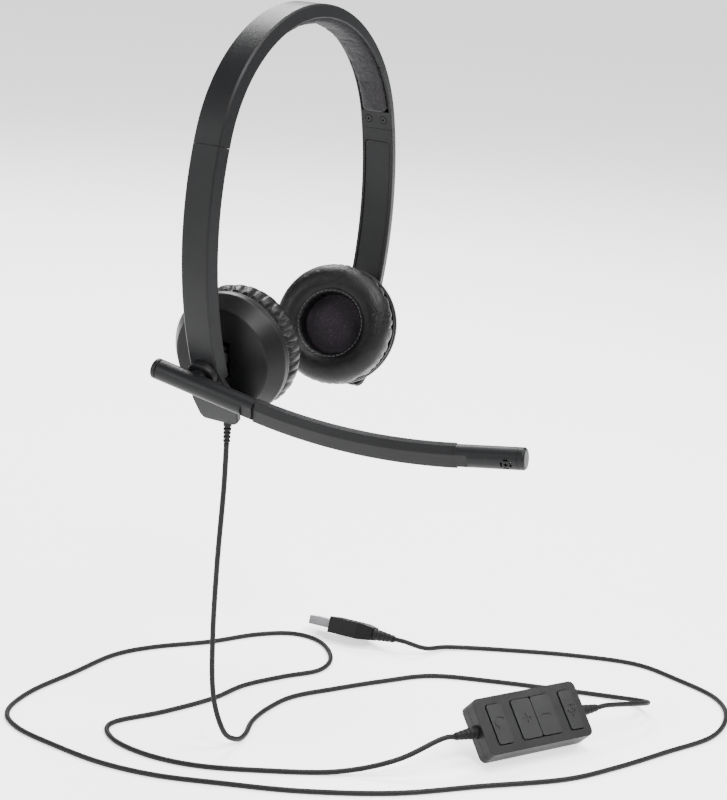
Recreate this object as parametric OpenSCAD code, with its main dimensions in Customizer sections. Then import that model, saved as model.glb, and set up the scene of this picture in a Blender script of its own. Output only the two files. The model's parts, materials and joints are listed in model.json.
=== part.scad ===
// Stereo office headset: band and arms, two ear cups, boom microphone,
// in-line controller, cord and USB plug.  Millimetres, +Z up.
// X runs from ear to ear, the microphone side is -X and the wearer faces -Y.
// The origin is the middle of the head, level with the ear-cup pivots.

/* [Band and arms] */
// Height of the band's top above the ear-cup pivots
top_z = 152.5; // [146:0.5:158]
// Outer radius of the band's top arc
top_r = 71; // [69:0.5:73]
// Half angle of the top arc
top_half = 75; // [74.5:0.1:75.5]
// Outer radius of the side arcs
side_r = 165; // [160:1:170]
// Angle from the top at which the band ends and an arm starts
joint_angle = 76.8; // [76.5:0.1:77.2]
// Width of the outer face of the band and arms
outer_w = 14; // [13.6:0.1:14.6]
// Width of the inner face of the band and arms
inner_w = 17; // [16.6:0.1:17.6]
// Thickness of the band and arms
band_t = 6; // [6:0.1:6.4]

/* [Ear cups] */
// Distance of each cup's pivot from the middle of the head
pivot_x = 47.5; // [46.5:0.1:48]
// Radius of the cup shell
cup_r = 28; // [27:0.1:28.4]
// Depth of the cup shell
cup_depth = 9.5; // [9.5:0.1:10]
// Radius of the ear opening in a cushion
ear_r = 13; // [12:0.1:14]
// Height of a cushion
cushion_h = 14; // [12:0.5:15]
// Turn of the microphone-side cup about the vertical
near_yaw = 6; // [0:1:10]
// Upward tilt of the microphone-side cup
near_tilt = 9; // [8:1:14]
// Turn of the other cup about the vertical
far_yaw = 14; // [0:1:14]
// Upward tilt of the other cup
far_tilt = 14; // [9:1:15]

/* [Boom] */
// Radius of the pivot barrel
barrel_r = 4.6; // [4.2:0.1:4.8]
// Barrel length in front of the pivot
barrel_front = 32; // [28:1:36]
// Barrel length behind the pivot
barrel_back = 20.5; // [16:0.5:22]
// Downward slope of the barrel
barrel_slope = 10.8; // [0:0.1:20]
// Radius of the stem's bend
stem_bend_r = 281; // [260:1:320]
// Length of the bent stem
stem_len = 92.6; // [80:0.1:100]
// Length of the microphone housing
mic_len = 29; // [26:1:32]

/* [Controller and plug] */
// Controller length
ctl_l = 60; // [56:1:64]
// Controller width
ctl_w = 28; // [26:1:30]
// Width of the plug's metal shell
usb_w = 12; // [12:0.05:12.1]
// Height of the plug's metal shell
usb_h = 4.5; // [4.5:0.05:4.55]
// Cord diameter
cord_d = 2.5; // [2.2:0.1:2.8]

/* [Hidden] */
$fn = 64;

// Centres of the arcs, for the +X side
top_cz = top_z - top_r;
side_cx = (top_r - side_r) * sin(top_half);
side_cz = top_cz + (top_r - side_r) * cos(top_half);

// Radii through the thickness of the band, measured on the side arcs
inner_r = side_r - band_t;
slot_inner_r = side_r - 4.3;
slot_outer_r = side_r - 2.9;
slider_inner_r = side_r - 4;
slider_outer_r = side_r - 3.1;
slider_w = 9;
slider_top = 73.4;
slider_end = 101;
panel_start = 79;
panel_end = 104;
panel_w = 13.2;
panel_gap = 0.35;
thin_start = 106;
joint_gap = 0.05;
arc_lap = 0.02;
thin_t = 3;
arm_end = 113;
tab_end = 124;
edge_chamfer = 0.7;

// Screws that hold a slider in the band's end
screw_angle = 75.2;
screw_y = 4;
screw_r = 0.9;
screw_head_r = 1.6;

// Foam pad under the band
pad_end = 72;
pad_w = 12.8;
pad_recess_w = 15;
pad_drop = 2.8;
liner_half = 71;

// Universal joint inside a cup
gimbal_depth = 3;
gimbal_r = 3.6;
pin_r = 1;
pin_gap = 0.05;
fork_z = 5.6;
fork_w = 5;
lug_y0 = 5;
lug_y1 = 7.8;

// Cup layers, measured from the flat of the shell
shell_back_r = 23;
shell_wall = 1.6;
bevel_depth = 7;
baffle_z = cup_depth + 0.1;
baffle_t = 2;
driver_r = 17.6;
driver_z = 8.2;
cloth_z = 14.4;
cushion_z = cup_depth + 2.6;

// Boom pivot
pivot_angle = 112.3;
boss_r = 7;
boss_h = 3;
barrel_off = boss_h + 0.3 + barrel_r;
pivot_shaft_r = 2.5;
bend_lean = 38;
tail_cap_l = 3;
mic_r = 4.7;
mic_cap_l = 3;
flat_r = 6;
flat_drop = 1;

// Controller and plug where they lie
floor_z = -185;
ctl_pos = [50, -117, -170.3];
ctl_turn = [45, 0, -25];
ctl_top_h = 5.6;
ctl_bottom_h = 4.9;
ctl_wall = 1.5;
key_gap = 0.25;
key_y = 9.8;
key_rise = 0.6;
plug_pos = [108, 30, -178.1];
plug_turn = [20, 0, 97];
plug_body_l = 24;
plug_body_w = 16.5;
plug_body_h = 8.5;
plug_relief_l = 12;
relief_l = 12;
relief_r = 3.1;
tab_relief_l = 9;
tab_relief_pos = [-48, -4, -29.5];

// ---------------------------------------------------------------- functions
function unit(v) = v / norm(v);
function arc_point(r, a) = [side_cx + r * sin(a), 0, side_cz + r * cos(a)];
// Corners of a rectangle with round corners, w by h, centred
function round_rect(w, h, r, n = 5) =
    [for (q = [0:3]) for (i = [0:n])
        let (a = 90 * q + 90 * i / n,
             sx = (q == 0 || q == 3) ? 1 : -1,
             sy = q < 2 ? 1 : -1)
        [sx * (w / 2 - r) + r * cos(a), sy * (h / 2 - r) + r * sin(a)]];
// Outline across the band at outer radius r
function band_outline(r) =
    [[r - band_t, -inner_w / 2 + 0.3], [r - band_t + 0.5, -inner_w / 2],
     [r - edge_chamfer, -outer_w / 2 - 0.1], [r, -outer_w / 2 + edge_chamfer],
     [r, outer_w / 2 - edge_chamfer], [r - edge_chamfer, outer_w / 2 + 0.1],
     [r - band_t + 0.5, inner_w / 2], [r - band_t, inner_w / 2 - 0.3]];

// ------------------------------------------------------------ small modules
// Sweeps a section given as [radius, y] about the side arc's centre
module side_sweep(a0, a1) {
    translate([side_cx, 0, side_cz]) rotate([90, 0, 0]) rotate([0, 0, 90 - a1])
        rotate_extrude(angle = a1 - a0, $fn = 360) children();
}
// Sweeps a section about the top arc's centre, from -half to half
module top_sweep(half) {
    translate([0, 0, top_cz]) rotate([90, 0, 0]) rotate([0, 0, 90 - half])
        rotate_extrude(angle = 2 * half, $fn = 360) children();
}
module strip(r0, r1, w) { translate([r0, -w / 2]) square([r1 - r0, w]); }
module both_sides() {
    children();
    rotate([0, 0, 180]) children();
}
// Puts local +Z along the arm's outward normal at angle a, origin at radius r
module on_arm(a, r) { translate(arc_point(r, a)) rotate([0, a, 0]) children(); }
// Puts local +Z along a cup's axis, towards the head, origin at its back
module in_cup(side, yaw, tilt) {
    translate([side * pivot_x, 0, 0]) rotate([0, 90 - tilt, side < 0 ? yaw : yaw + 180])
        translate([0, 0, -gimbal_depth]) children();
}
module rounded_box(l, w, h, r) { linear_extrude(h) polygon(round_rect(l, w, r)); }
module ring(ro, ri, h) {
    difference() {
        cylinder(r = ro, h = h);
        translate([0, 0, -1]) cylinder(r = ri, h = h + 2);
    }
}

// ------------------------------------------------------------ band and arms
// Outline of the tab seen square on to the arm's lower end: flared, then tapered
module tab_outline() {
    polygon([[-8, 0], [-12.4, -8], [-13.5, -11.5], [-13.5, -14.5], [-11.5, -23], [-9.9, -25],
             [7.9, -25], [9.4, -23], [10.8, -14.5], [10.8, -11.5], [9.8, -8], [8, 0]]);
}
module tab_prism() {
    on_arm(arm_end, side_r - 12) rotate([0, 0, 90]) linear_extrude(20)
        translate([0, 1]) tab_outline();
}
module arm_body() {
    difference() {
        union() {
            side_sweep(joint_angle + joint_gap, arm_end) polygon(band_outline(side_r));
            intersection() {
                side_sweep(arm_end - 1, tab_end + 2) strip(side_r - 5.2, side_r, 26);
                tab_prism();
            }
        }
        // pocket for the stud's flange, and a thin tab where the cup hangs behind it
        side_sweep(thin_start, arm_end + 1.5) strip(side_r - 12, side_r - thin_t, 10.5);
        side_sweep(arm_end, tab_end + 4) strip(side_r - 12, side_r - thin_t, 30);
        // room for the slider and, over it, the inner panel
        side_sweep(joint_angle - 1, slider_end + 1.2) strip(slot_inner_r, slot_outer_r, slider_w + 0.6);
        side_sweep(panel_start, panel_end) strip(inner_r - 1, slot_inner_r + 0.01, panel_w + 2 * panel_gap);
    }
}
module arm_panel() {
    side_sweep(panel_start + 0.12, panel_end - 0.12)
        strip(inner_r + 0.35, slot_inner_r - 0.1, panel_w);
}
// Flange on the arm's inner face with the fork that carries the gimbal
module stud() {
    fork_x = pivot_x;
    difference() {
        union() {
            side_sweep(arm_end - 6.4, arm_end + 1) strip(side_r - thin_t - 2.1, side_r - thin_t - 0.05, 10);
            translate([fork_x + 4.2, 0, 0]) rotate([0, 90, 0]) cylinder(r = 2.4, h = 9);
            translate([fork_x + 4.2, -fork_w / 2, -fork_z]) cube([2, fork_w, 2 * fork_z]);
            for (s = [-1, 1]) translate([fork_x - 2, -fork_w / 2, s < 0 ? -fork_z : fork_z - 1.6])
                cube([7, fork_w, 1.6]);
            translate([fork_x, 0, -fork_z]) cylinder(r = pin_r, h = 2 * fork_z);
        }
        // nothing stands proud of the arm's inner surface
        side_sweep(arm_end - 20, tab_end) strip(side_r - thin_t - 0.05, side_r + 5, 30);
    }
}
// Seat of the cord's relief in the tab, on the +X side as the arm is drawn
module relief_hole() {
    translate([-tab_relief_pos[0], tab_relief_pos[1], tab_relief_pos[2] - 3]) cylinder(r = 1.95, h = 6.1);
}
module tab_cover_part() {
    intersection() {
        side_sweep(arm_end + 1.4, tab_end + 2) strip(side_r - thin_t - 1.1, side_r - thin_t - 0.05, 16);
        tab_prism();
    }
}
module near_arm_shell() {
    color("#2b2c2e") mirror([1, 0, 0]) difference() {
        union() {
            arm_body();
            on_arm(pivot_angle, side_r - 2) cylinder(r = boss_r, h = boss_h + 2);
        }
        on_arm(pivot_angle, side_r - 12) cylinder(r = pivot_shaft_r + pin_gap, h = 30);
        on_arm(pivot_angle, side_r - 8) cylinder(r = 4.2, h = 6.4);
        relief_hole();
    }
}
module near_arm_panel() { color("#333436") mirror([1, 0, 0]) arm_panel(); }
module near_stud() { color("#3a3a3c") mirror([1, 0, 0]) stud(); }
module near_tab_cover() {
    color("#2b2c2e") mirror([1, 0, 0]) difference() {
        tab_cover_part();
        relief_hole();
    }
}
module far_arm_shell() { color("#2b2c2e") arm_body(); }
module far_arm_panel() { color("#333436") arm_panel(); }
module far_stud() { color("#3a3a3c") stud(); }
module far_tab_cover() { color("#2b2c2e") tab_cover_part(); }

module slider_blank(gap, end) {
    side_sweep(slider_top - gap / 2, end) strip(slider_inner_r - gap, slider_outer_r + gap, slider_w + 2 * gap);
}
module band_shell() {
    color("#2b2c2e") difference() {
        union() {
            top_sweep(top_half + arc_lap) polygon(band_outline(top_r));
            both_sides() side_sweep(top_half - arc_lap, joint_angle) polygon(band_outline(side_r));
        }
        // recess for the pad and its liner
        top_sweep(pad_end) strip(top_r - band_t - 1, top_r - 2.2, pad_recess_w);
        both_sides() {
            slider_blank(0, joint_angle + 1);
            for (s = [-1, 1]) on_arm(screw_angle, 0) translate([0, s * screw_y, 0]) {
                translate([0, 0, inner_r - 0.8]) cylinder(r = screw_r, h = 5.5);
                translate([0, 0, inner_r - 1]) cylinder(r = screw_head_r + 0.3, h = 1.9);
            }
        }
    }
}
module band_liner() {
    color("#252527") top_sweep(liner_half) strip(top_r - 4.2, top_r - 3.2, pad_w);
}
module band_spring() {
    color("#8d9094") top_sweep(liner_half) strip(top_r - 3.1, top_r - 2.3, slider_w);
}
module slider() {
    difference() {
        slider_blank(0, slider_end);
        for (s = [-1, 1]) on_arm(screw_angle, inner_r) translate([0, s * screw_y, 0])
            cylinder(r = screw_r, h = 6);
        // row of detent notches along one edge
        for (k = [0:6]) on_arm(82 + 2.5 * k, inner_r) translate([0, slider_w / 2, 0])
            cylinder(r = 0.6, h = 6, $fn = 24);
    }
}
module near_slider() { color("#8d9094") mirror([1, 0, 0]) slider(); }
module far_slider() { color("#8d9094") slider(); }
module band_pad() {
    color("#3b3a3c") top_sweep(pad_end - 0.3) polygon([
        [top_r - band_t - pad_drop, -pad_w / 2 + 2.2], [top_r - band_t - pad_drop + 1.2, -pad_w / 2 + 0.6],
        [top_r - band_t, -pad_w / 2], [top_r - 4.3, -pad_w / 2], [top_r - 4.3, pad_w / 2],
        [top_r - band_t, pad_w / 2], [top_r - band_t - pad_drop + 1.2, pad_w / 2 - 0.6],
        [top_r - band_t - pad_drop, pad_w / 2 - 2.2]]);
}
module band_screws() {
    color("#6d6f72") both_sides() for (s = [-1, 1]) on_arm(screw_angle, inner_r)
        translate([0, s * screw_y, 0]) difference() {
            union() {
                translate([0, 0, -0.1]) cylinder(r = screw_head_r, h = 1);
                cylinder(r = screw_r, h = 4.6);
            }
            translate([0, 0, -0.6]) cylinder(r = 0.7, h = 1, $fn = 6);
        }
}

// ----------------------------------------------------------------- ear cups
module cup_shell() {
    difference() {
        rotate_extrude($fn = 128) polygon([[0, 0], [shell_back_r - 0.6, 0], [shell_back_r, 0.3],
            [cup_r, bevel_depth], [cup_r, cup_depth], [cup_r - shell_wall, cup_depth],
            [cup_r - shell_wall, bevel_depth + 0.5], [shell_back_r - 1, shell_wall], [0, shell_wall]]);
        // the fork of the stud passes through here
        translate([-8.5, -4.1, -1]) cube([17, 8.2, shell_wall + 2]);
    }
    for (s = [-1, 1]) difference() {
        translate([-3, s < 0 ? -lug_y1 : lug_y0, shell_wall - 0.2]) cube([6, lug_y1 - lug_y0, 4.2]);
        translate([0, 0, gimbal_depth]) rotate([90, 0, 0])
            cylinder(r = pin_r + pin_gap, h = 30, center = true);
    }
}
// Ball with a bore for the fork's pin and two trunnions for the cup's lugs
module gimbal(side, yaw) {
    translate([side * pivot_x, 0, 0]) rotate([0, 0, yaw]) difference() {
        union() {
            intersection() {
                sphere(r = gimbal_r);
                cube([20, 20, 2 * fork_z - 3.8], center = true);
            }
            rotate([90, 0, 0]) cylinder(r = pin_r, h = 2 * lug_y1 + 0.8, center = true);
        }
        cylinder(r = pin_r + pin_gap, h = 20, center = true);
    }
}
module baffle() {
    translate([0, 0, baffle_z]) ring(cup_r - 0.9, driver_r - 1.2, baffle_t);
}
module driver_frame() {
    translate([0, 0, driver_z]) difference() {
        union() {
            cylinder(r = 15.6, h = 4.2);
            translate([0, 0, baffle_z + baffle_t + 0.05 - driver_z]) cylinder(r = driver_r, h = 0.8);
        }
        translate([0, 0, 1]) cylinder(r = 14.6, h = 6);
        translate([0, 0, -1]) cylinder(r = 7, h = 3);
        for (k = [0:5]) rotate([0, 0, 60 * k]) translate([10.8, 0, -1]) cylinder(r = 1.8, h = 3, $fn = 32);
    }
}
module driver_magnet() { translate([0, 0, driver_z - 0.1]) cylinder(r = 6.95, h = 2.6); }
module driver_cone() {
    translate([0, 0, driver_z + 3]) rotate_extrude($fn = 96)
        polygon([[0, 1.1], [5, 0.3], [13.6, 1.2], [14.5, 1.2], [14.5, 1.6], [13.4, 1.6], [5, 0.7], [0, 1.5]]);
}
module speaker_cloth() { translate([0, 0, cloth_z]) cylinder(r = ear_r + 3, h = 0.5); }
module cushion() {
    mid = (cup_r + ear_r) / 2;
    difference() {
        translate([0, 0, cushion_z]) rotate_extrude($fn = 96) polygon([
            [ear_r + 5, 0], [cup_r - 2, 0], [cup_r - 0.2, 2.6], [cup_r + 0.4, cushion_h * 0.45],
            [cup_r - 0.8, cushion_h * 0.72], [cup_r - 3.6, cushion_h * 0.94], [mid + 0.6, cushion_h],
            [mid - 2.6, cushion_h * 0.95], [ear_r + 1.2, cushion_h * 0.78], [ear_r, cushion_h * 0.55],
            [ear_r + 0.4, 3.2], [ear_r + 5, 3.2]]);
    }
}
module near_cup() { in_cup(-1, near_yaw, near_tilt) children(); }
module far_cup() { in_cup(1, far_yaw, far_tilt) children(); }
module near_cup_shell() { color("#2a2a2c") near_cup() cup_shell(); }
module near_gimbal() { color("#77797c") gimbal(-1, near_yaw); }
module near_baffle() { color("#1f1f21") near_cup() baffle(); }
module near_driver_frame() { color("#3c3d40") near_cup() driver_frame(); }
module near_driver_magnet() { color("#8d9094") near_cup() driver_magnet(); }
module near_driver_cone() { color("#4a4b4e") near_cup() driver_cone(); }
module near_speaker_cloth() { color("#2f2a2e") near_cup() speaker_cloth(); }
module near_cushion() { color("#1c1c1e") near_cup() cushion(); }
module far_cup_shell() { color("#2a2a2c") far_cup() cup_shell(); }
module far_gimbal() { color("#77797c") gimbal(1, far_yaw); }
module far_baffle() { color("#1f1f21") far_cup() baffle(); }
module far_driver_frame() { color("#3c3d40") far_cup() driver_frame(); }
module far_driver_magnet() { color("#8d9094") far_cup() driver_magnet(); }
module far_driver_cone() { color("#4a4b4e") far_cup() driver_cone(); }
module far_speaker_cloth() { color("#2f2a2e") far_cup() speaker_cloth(); }
module far_cushion() { color("#1c1c1e") far_cup() cushion(); }

// --------------------------------------------------------------------- boom
// Local +X runs forward along the barrel, +Y up and +Z towards the head
module in_boom() {
    mirror([1, 0, 0]) on_arm(pivot_angle, side_r + barrel_off)
        rotate([0, 0, barrel_slope - 90]) rotate([180, 0, 0]) children();
}
stem_turn = stem_len / stem_bend_r * 180 / PI;
// Same frame, carried to the end of the bent stem
module at_stem_end() {
    in_boom() rotate([-bend_lean, 0, 0]) translate([barrel_front, 0, stem_bend_r])
        rotate([0, -stem_turn, 0]) translate([0, 0, -stem_bend_r]) rotate([bend_lean, 0, 0]) children();
}
// Stem outline as [outward, up]: flat outer face, broad chamfer above it
stem_outline = [[2.2, -5], [2.6, -4.5], [2.6, 2], [0.6, 4.8], [-2, 5], [-2.6, 4.4], [-2.6, -4.4], [-2, -5]];
module boom_barrel() {
    color("#2b2c2e") in_boom() difference() {
        union() {
            translate([-barrel_back + tail_cap_l, 0, 0]) rotate([0, 90, 0])
                cylinder(r = barrel_r, h = barrel_back + barrel_front - tail_cap_l);
            cylinder(r = 4.4, h = barrel_r);
            cylinder(r = pivot_shaft_r, h = barrel_off + 2.7);
        }
        // groove for the clip
        translate([0, 0, barrel_off + 1.8]) ring(pivot_shaft_r + 1, pivot_shaft_r - 0.5, 0.6);
        // round-ended flat where the stem starts
        translate([barrel_front + 0.5, 0, flat_drop - barrel_r - 5]) cylinder(r = flat_r, h = 5);
    }
}
module boom_clip() {
    color("#9a9ca0") in_boom() translate([0, 0, barrel_off + 1.8]) difference() {
        ring(3.8, pivot_shaft_r - 0.5, 0.6);
        translate([0, -1.6, -1]) cube([6, 3.2, 3]);
    }
}
module boom_tail_cap() {
    color("#2b2c2e") in_boom() translate([-barrel_back, 0, 0]) rotate([0, 90, 0]) union() {
        rotate_extrude() polygon([[0, 0], [barrel_r - 0.7, 0], [barrel_r, 0.7],
            [barrel_r, tail_cap_l - 0.5], [barrel_r - 0.5, tail_cap_l - 0.5],
            [barrel_r - 0.5, tail_cap_l], [0, tail_cap_l]]);
    }
}
module boom_stem() {
    color("#2b2c2e") in_boom() rotate([-bend_lean, 0, 0]) translate([barrel_front, 0, stem_bend_r])
        rotate([90, 0, 0]) rotate([0, 0, -90]) rotate_extrude(angle = stem_turn, $fn = 720)
            polygon([for (p = stem_outline)
                [stem_bend_r + cos(bend_lean) * p[0] - sin(bend_lean) * p[1],
                 -cos(bend_lean) * p[1] - sin(bend_lean) * p[0]]]);
}
module mic_body() {
    color("#2b2c2e") at_stem_end() difference() {
        rotate([0, 90, 0]) cylinder(r = mic_r, h = mic_len - mic_cap_l);
        translate([12, 0, 0]) rotate([0, 90, 0]) cylinder(r = 3.4, h = 30);
        translate([-0.5, 0, flat_drop - mic_r - 5]) cylinder(r = flat_r, h = 5);
        // sound port: a round hole in a ring of four slots
        translate([21.4, 0, -10]) {
            cylinder(r = 0.8, h = 10);
            difference() {
                ring(2.4, 1.6, 10);
                for (a = [45, 135]) rotate([0, 0, a]) translate([-5, -0.5, -1]) cube([10, 1, 12]);
            }
        }
    }
}
module mic_element() {
    color("#8d9094") at_stem_end() translate([21.4, 0, -1.6]) cylinder(r = 2.9, h = 3.2);
}
module mic_end_cap() {
    color("#2b2c2e") at_stem_end() translate([mic_len - mic_cap_l, 0, 0]) rotate([0, 90, 0]) rotate_extrude()
        polygon([[0, -1.4], [3.3, -1.4], [3.3, 0], [mic_r, 0], [mic_r, mic_cap_l - 0.7],
                 [mic_r - 0.7, mic_cap_l], [0, mic_cap_l]]);
}

// --------------------------------------------------------------- controller
module in_controller() { translate(ctl_pos) rotate(ctl_turn) children(); }
// Key windows as [left edge, right edge] along the controller
answer_span = [-23.8, -15.7];
up_span = [-9.8, 1.2];
down_span = [1.6, 12.6];
mute_span = [18.4, 25.8];
module key_block(span, grow, z0, z1) {
    translate([(span[0] + span[1]) / 2, 0, z0])
        rounded_box(span[1] - span[0] + 2 * grow, 2 * (key_y + grow), z1 - z0, 1.2 + max(0, grow));
}
module controller_top() {
    color("#2c2d2f") in_controller() difference() {
        rounded_box(ctl_l, ctl_w, ctl_top_h, 3);
        translate([0, 0, -1]) rounded_box(ctl_l - 2 * ctl_wall, ctl_w - 2 * ctl_wall, ctl_top_h - 0.6, 2);
        key_block(answer_span, key_gap, 2, 9);
        key_block([up_span[0], down_span[1]], key_gap, 2, 9);
        key_block(mute_span, key_gap, 2, 9);
        for (s = [-1, 1]) translate([s * ctl_l / 2, 0, 0]) rotate([0, 90, 0])
            cylinder(r = relief_r, h = 8, center = true);
    }
}
module controller_bottom() {
    color("#2c2d2f") in_controller() difference() {
        translate([0, 0, -ctl_bottom_h]) rounded_box(ctl_l, ctl_w, ctl_bottom_h, 3);
        translate([0, 0, -ctl_bottom_h + ctl_wall])
            rounded_box(ctl_l - 2 * ctl_wall, ctl_w - 2 * ctl_wall, ctl_bottom_h, 2);
        for (s = [-1, 1]) translate([s * ctl_l / 2, 0, 0]) rotate([0, 90, 0])
            cylinder(r = relief_r, h = 8, center = true);
        for (s = [-1, 1]) translate([s * 22, 0, -ctl_bottom_h - 1]) cylinder(r = 1, h = 4);
    }
}
// A key: cap through the window and a flange that keeps it in
module key(span, mark) {
    in_controller() difference() {
        union() {
            key_block(span, 0, 3.4, ctl_top_h + key_rise);
            translate([(span[0] + span[1]) / 2, 0, 2.9])
                rounded_box(span[1] - span[0], 2 * key_y + 2.2, 0.8, 0.8);
            translate([(span[0] + span[1]) / 2, 0, 2.6]) cylinder(r = 1.4, h = 1);
        }
        translate([(span[0] + span[1]) / 2, 0, ctl_top_h + key_rise - 0.3]) linear_extrude(2) children();
    }
}
module plus_mark() {
    square([5, 1.1], center = true);
    square([1.1, 5], center = true);
}
// Flat outline of a telephone handset
module handset_mark() {
    rotate([0, 0, 45]) union() {
        difference() {
            circle(r = 3.4);
            circle(r = 2.3);
            translate([-5, -5]) square([10, 5.6]);
        }
        for (s = [-1, 1]) translate([s * 2.7, 0.2]) square([1.9, 1.7], center = true);
    }
}
// Flat outline of a microphone with a bar across it
module mute_mark() {
    translate([0, 1]) square([1.8, 3], center = true);
    difference() {
        circle(r = 2.3);
        circle(r = 1.6);
        translate([-4, 0]) square([8, 4]);
    }
    translate([0, -2.8]) square([0.7, 1.4], center = true);
    rotate([0, 0, 45]) square([6.4, 0.7], center = true);
}
module answer_key() { color("#313235") key(answer_span) handset_mark(); }
module volume_up_key() { color("#313235") key(up_span) plus_mark(); }
module volume_down_key() { color("#313235") key(down_span) square([5, 1.1], center = true); }
module mute_key() { color("#313235") key(mute_span) mute_mark(); }
module controller_board() {
    color("#2d4a3a") in_controller() translate([0, 0, -1]) rounded_box(ctl_l - 8, ctl_w - 4, 1, 1);
}
module key_switches() {
    color("#8d9094") in_controller() for (span = [answer_span, up_span, down_span, mute_span])
        translate([(span[0] + span[1]) / 2, 0, 0]) union() {
            translate([-2.6, -2.6, 0]) cube([5.2, 5.2, 1.3]);
            cylinder(r = 1.3, h = 1.9);
        }
}
// Tapered sleeve along +X with grooves, from a housing wall
module relief(len, r0, r1) {
    rotate([0, 90, 0]) rotate_extrude() polygon(concat([[0, -3], [r0, -3]],
        [for (k = [0:4]) let (z = len * k / 5, r = r0 + (r1 - r0) * k / 5)
            each [[r, z + 0.1], [r - 0.05, z + len / 5 - 0.8], [r - 0.5, z + len / 5 - 0.7], [r - 0.5, z + len / 5 - 0.1]]],
        [[r1, len], [0, len]]));
}
module controller_left_relief() {
    color("#262628") in_controller() translate([-ctl_l / 2, 0, 0]) rotate([0, 0, 180])
        relief(relief_l, relief_r, cord_d / 2 + 0.4);
}
module controller_right_relief() {
    color("#262628") in_controller() translate([ctl_l / 2, 0, 0])
        relief(relief_l, relief_r, cord_d / 2 + 0.4);
}
module controller_screws() {
    color("#6d6f72") in_controller() for (s = [-1, 1]) translate([s * 22, 0, -ctl_bottom_h + 0.4])
        union() {
            cylinder(r = 1, h = ctl_bottom_h - 1.6);
            translate([0, 0, ctl_wall - 0.4]) cylinder(r = 1.8, h = 1);
        }
}

// --------------------------------------------------------------------- plug
// Local +X points out of the plug's open end
module in_plug() { translate(plug_pos) rotate(plug_turn) children(); }
module plug_shell() {
    color("#c9cbce") in_plug() difference() {
        translate([-6, -usb_w / 2, -usb_h / 2]) cube([18, usb_w, usb_h]);
        translate([-5, -usb_w / 2 + 0.3, -usb_h / 2 + 0.3]) cube([20, usb_w - 0.6, usb_h - 0.6]);
        for (s = [-1, 1]) translate([6, s * 2.7 - 1.1, -5]) cube([2.2, 2.2, 10]);
    }
}
module plug_tongue() {
    color("#18181a") in_plug() translate([-4.8, -usb_w / 2 + 0.4, -usb_h / 2 + 0.35])
        cube([16, usb_w - 0.8, 1.7]);
}
module plug_contacts() {
    color("#c8a24a") in_plug() for (y = [-3.5, -1, 1, 3.5])
        translate([-3, y - 0.5, -usb_h / 2 + 2.06]) cube([(abs(y) > 2 ? 13.4 : 12.4), 1, 0.2]);
}
module plug_body() {
    color("#262628") in_plug() difference() {
        hull() {
            translate([-plug_body_l + 8, 0, -plug_body_h / 2]) rounded_box(4, plug_body_w, plug_body_h, 1.6);
            translate([-2, 0, -plug_body_h / 2]) rounded_box(4, plug_body_w, plug_body_h, 1.6);
            translate([-plug_body_l, -4.5, -3.4]) cube([1, 9, 6.8]);
        }
        translate([-6, -usb_w / 2, -usb_h / 2]) cube([9, usb_w, usb_h]);
        translate([-18, -plug_body_w / 2 + 2.4, plug_body_h / 2 - 0.4]) cube([15, plug_body_w - 4.8, 2]);
        translate([-plug_body_l - 1, 0, 0]) rotate([0, 90, 0]) cylinder(r = 3.2, h = 4);
    }
}
module plug_relief() {
    color("#262628") in_plug() translate([-plug_body_l, 0, 0]) rotate([0, 0, 180])
        relief(plug_relief_l, 3.2, cord_d / 2 + 0.5);
}

// --------------------------------------------------------------------- cord
module tab_relief() {
    color("#1f1f21") translate(tab_relief_pos) rotate([0, 90, 0])
        relief(tab_relief_l, 1.9, cord_d / 2 + 0.3);
}
cord_z = floor_z + cord_d / 2;
function in_controller_point(x) =
    ctl_pos + [x * cos(ctl_turn[2]), x * sin(ctl_turn[2]), 0];
function in_plug_point(x) =
    plug_pos + [x * cos(plug_turn[2]), x * sin(plug_turn[2]), 0];
// Route from the headset to the controller
upper_route = concat(
    [tab_relief_pos - [0, 0, tab_relief_l], [-48, -4, -60], [-49, -3.5, -95], [-49, -3.5, -130],
     [-48, -5, -158], [-44, -9, -176], [-36, -11, cord_z + 1.5], [-26, -9, cord_z], [-12, -3, cord_z],
     [5, 0, cord_z], [25, -1, cord_z], [47, -11, cord_z], [72, -24, cord_z], [95, -39, cord_z],
     [110, -65, cord_z], [126, -100, cord_z], [135, -124, cord_z + 0.5], [134, -138, cord_z + 3],
     [122, -146, cord_z + 8]],
    [in_controller_point(ctl_l / 2 + relief_l + 8), in_controller_point(ctl_l / 2 + relief_l)]);
// Route from the controller to the plug
lower_route = concat(
    [in_controller_point(-ctl_l / 2 - relief_l), in_controller_point(-ctl_l / 2 - relief_l - 8)],
    [[-14, -84, cord_z + 6], [-32, -64, cord_z + 0.5], [-52, -38, cord_z], [-68, -12, cord_z],
     [-74, 12, cord_z], [-71, 34, cord_z], [-58, 45, cord_z], [-32, 35, cord_z], [-4, 27, cord_z],
     [20, 25, cord_z], [42, 17, cord_z], [62, 8, cord_z], [80, 13, cord_z], [94, 29, cord_z],
     [94, 46, cord_z], [79, 60, cord_z], [54, 72, cord_z], [28, 89, cord_z], [6, 97, cord_z],
     [-24, 97, cord_z], [-56, 97, cord_z], [-80, 90, cord_z], [-91, 74, cord_z], [-94, 48, cord_z],
     [-94, 22, cord_z], [-88, -4, cord_z], [-75, -31, cord_z], [-58, -62, cord_z], [-32, -95, cord_z],
     [0, -121, cord_z], [32, -147, cord_z], [60, -160, cord_z], [92, -171, cord_z],
     [124, -181, cord_z], [152, -177, cord_z], [171, -163, cord_z], [180, -138, cord_z],
     [184, -112, cord_z], [172, -82, cord_z], [154, -52, cord_z], [135, -27, cord_z + 0.5],
     [121, -20, cord_z + 2]],
    [in_plug_point(-plug_body_l - plug_relief_l - 6), in_plug_point(-plug_body_l - plug_relief_l)]);

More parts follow.
